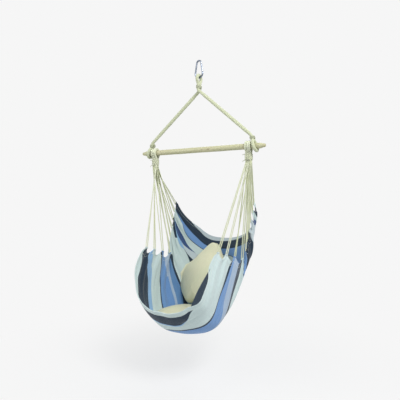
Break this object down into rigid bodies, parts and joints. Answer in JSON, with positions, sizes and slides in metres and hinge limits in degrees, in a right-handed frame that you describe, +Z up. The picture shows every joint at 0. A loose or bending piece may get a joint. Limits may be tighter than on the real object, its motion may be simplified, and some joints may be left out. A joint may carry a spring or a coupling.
{
  "type": "hammock chair",
  "caption": "Striped cloth sling with two loose cushions, hung by gathered cords from a wooden spreader bar on a rope with a snap hook.",
  "frame": {"origin": "top of the space inside the snap hook, the point that the chair hangs from", "axes": "+Z up, +X along the spreader bar towards its right end as the sitter is faced, the sitter faces -Y"},
  "size_m": [0.9, 0.7607, 1.6929],
  "materials": {
    "hook_steel": "drawn wire, dull",
    "pin_steel": "bright",
    "rope_cotton": "twisted rope",
    "cord_cotton": "twisted cord",
    "pale_wood": "planed, unvarnished",
    "striped_cotton": "woven stripes of navy, blue and pale grey",
    "cream_cotton": "plain weave"
  },
  "bodies": {
    "hook": {"snap_hook_body": "hook_steel"},
    "gate": {"snap_hook_gate": "hook_steel", "gate_hinge_pin": "pin_steel", "gate_latch_pin": "pin_steel", "gate_plunger": "pin_steel", "gate_spring": "pin_steel"},
    "suspension": {"hanging_eye_rope": "rope_cotton", "left_hanging_rope": "rope_cotton", "right_hanging_rope": "rope_cotton", "hanging_eye_whipping": "rope_cotton", "left_loop_whipping": "rope_cotton", "right_loop_whipping": "rope_cotton", "spreader_bar": "pale_wood"},
    "seat": {"left_clew_eye": "cord_cotton", "left_clew_whipping": "rope_cotton", "right_clew_eye": "cord_cotton", "right_clew_whipping": "rope_cotton", "left_cord_01": "cord_cotton", "left_cord_02": "cord_cotton", "left_cord_03": "cord_cotton", "left_cord_04": "cord_cotton", "left_cord_05": "cord_cotton", "left_cord_06": "cord_cotton", "left_cord_07": "cord_cotton", "left_cord_08": "cord_cotton", "left_cord_09": "cord_cotton", "left_cord_10": "cord_cotton", "right_cord_01": "cord_cotton", "right_cord_02": "cord_cotton", "right_cord_03": "cord_cotton", "right_cord_04": "cord_cotton", "right_cord_05": "cord_cotton", "right_cord_06": "cord_cotton", "right_cord_07": "cord_cotton", "right_cord_08": "cord_cotton", "right_cord_09": "cord_cotton", "right_cord_10": "cord_cotton", "cloth_sling": "striped_cotton"},
    "seat_cushion": {"seat_cushion": "cream_cotton"},
    "back_cushion": {"back_cushion": "cream_cotton"}
  },
  "joints": [
    {"name": "gate_opening", "type": "hinge", "parent": "hook", "child": "gate", "pos_m": [0.01759, 0, -0.02126], "axis": [0, 1, 0], "range_deg": [0, 35], "stiffness_Nm_per_rad": 0.2, "springref_deg": -57.3},
    {"name": "chair_swing", "type": "hinge", "parent": "hook", "child": "suspension", "pos_m": [0, 0, -0.1035], "axis": [1, 0, 0], "range_deg": [-25, 25]},
    {"name": "seat_recline", "type": "hinge", "parent": "suspension", "child": "seat", "pos_m": [0, 0, -0.565], "axis": [1, 0, 0], "range_deg": [-25, 25]},
    {"name": "seat_cushion_lift", "type": "slide", "parent": "seat", "child": "seat_cushion", "axis": [0, 0, 1], "range_m": [0, 0.08]},
    {"name": "back_cushion_lift", "type": "slide", "parent": "seat_cushion", "child": "back_cushion", "axis": [0, 0, 1], "range_m": [0, 0.15]}
  ]
}
